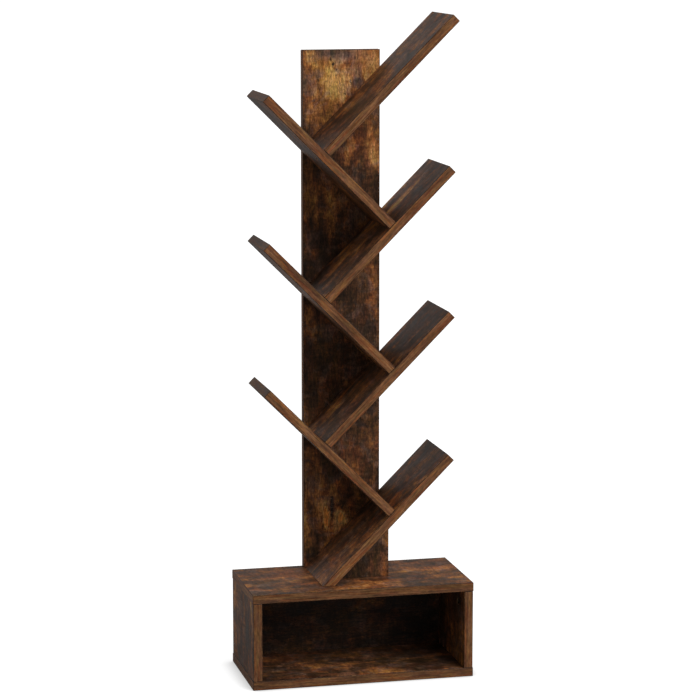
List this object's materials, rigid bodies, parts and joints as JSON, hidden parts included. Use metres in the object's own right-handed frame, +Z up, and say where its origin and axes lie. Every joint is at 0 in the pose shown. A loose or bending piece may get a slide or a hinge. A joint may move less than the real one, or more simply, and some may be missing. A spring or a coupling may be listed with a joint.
{
  "type": "tree bookshelf",
  "caption": "Tree shaped bookshelf: boards sloping left and right zigzag up a rear spine above an open fronted base box, so books lean in the bays.",
  "frame": {"origin": "on the floor under the middle of the base, which is the bottom centre of the part's box", "axes": "+Z up, +Y towards the wall behind, +X to the right seen from the front"},
  "size_m": [0.5, 0.24, 1.467],
  "materials": {
    "laminate": "satin rustic brown wood grain",
    "hardboard": "matte dark brown",
    "bronzed_steel": "bronzed",
    "zinc_alloy": "cast satin"
  },
  "bodies": {
    "root": {"base_back_panel": "hardboard", "base_bottom": "laminate", "base_side_left": "laminate", "base_side_right": "laminate", "base_top": "laminate", "cam_bolt_left_front": "bronzed_steel", "cam_bolt_left_rear": "bronzed_steel", "cam_bolt_right_front": "bronzed_steel", "cam_bolt_right_rear": "bronzed_steel", "cam_left_front": "zinc_alloy", "cam_left_rear": "zinc_alloy", "cam_right_front": "zinc_alloy", "cam_right_rear": "zinc_alloy", "foot_brace": "laminate", "left_branch_1": "laminate", "left_branch_2": "laminate", "left_branch_3": "laminate", "right_branch_1": "laminate", "right_branch_2": "laminate", "right_branch_3": "laminate", "right_branch_4": "laminate", "screw_base_left_front": "bronzed_steel", "screw_base_left_rear": "bronzed_steel", "screw_base_right_front": "bronzed_steel", "screw_base_right_rear": "bronzed_steel", "screw_brace_foot_left": "bronzed_steel", "screw_brace_foot_right": "bronzed_steel", "screw_brace_slope_lower": "bronzed_steel", "screw_brace_slope_upper": "bronzed_steel", "screw_branch_joint_1_front": "bronzed_steel", "screw_branch_joint_1_rear": "bronzed_steel", "screw_branch_joint_2_front": "bronzed_steel", "screw_branch_joint_2_rear": "bronzed_steel", "screw_branch_joint_3_front": "bronzed_steel", "screw_branch_joint_3_rear": "bronzed_steel", "screw_branch_joint_4_front": "bronzed_steel", "screw_branch_joint_4_rear": "bronzed_steel", "screw_branch_joint_5_front": "bronzed_steel", "screw_branch_joint_5_rear": "bronzed_steel", "screw_branch_joint_6_front": "bronzed_steel", "screw_branch_joint_6_rear": "bronzed_steel", "screw_spine_foot_left": "bronzed_steel", "screw_spine_foot_right": "bronzed_steel", "screw_spine_left_branch_1_left": "bronzed_steel", "screw_spine_left_branch_1_right": "bronzed_steel", "screw_spine_left_branch_2_left": "bronzed_steel", "screw_spine_left_branch_2_right": "bronzed_steel", "screw_spine_left_branch_3_left": "bronzed_steel", "screw_spine_left_branch_3_right": "bronzed_steel", "screw_spine_right_branch_1_left": "bronzed_steel", "screw_spine_right_branch_1_right": "bronzed_steel", "screw_spine_right_branch_2_left": "bronzed_steel", "screw_spine_right_branch_2_right": "bronzed_steel", "screw_spine_right_branch_3_left": "bronzed_steel", "screw_spine_right_branch_3_right": "bronzed_steel", "screw_spine_right_branch_4_left": "bronzed_steel", "screw_spine_right_branch_4_right": "bronzed_steel", "spine": "laminate"}
  },
  "joints": []
}
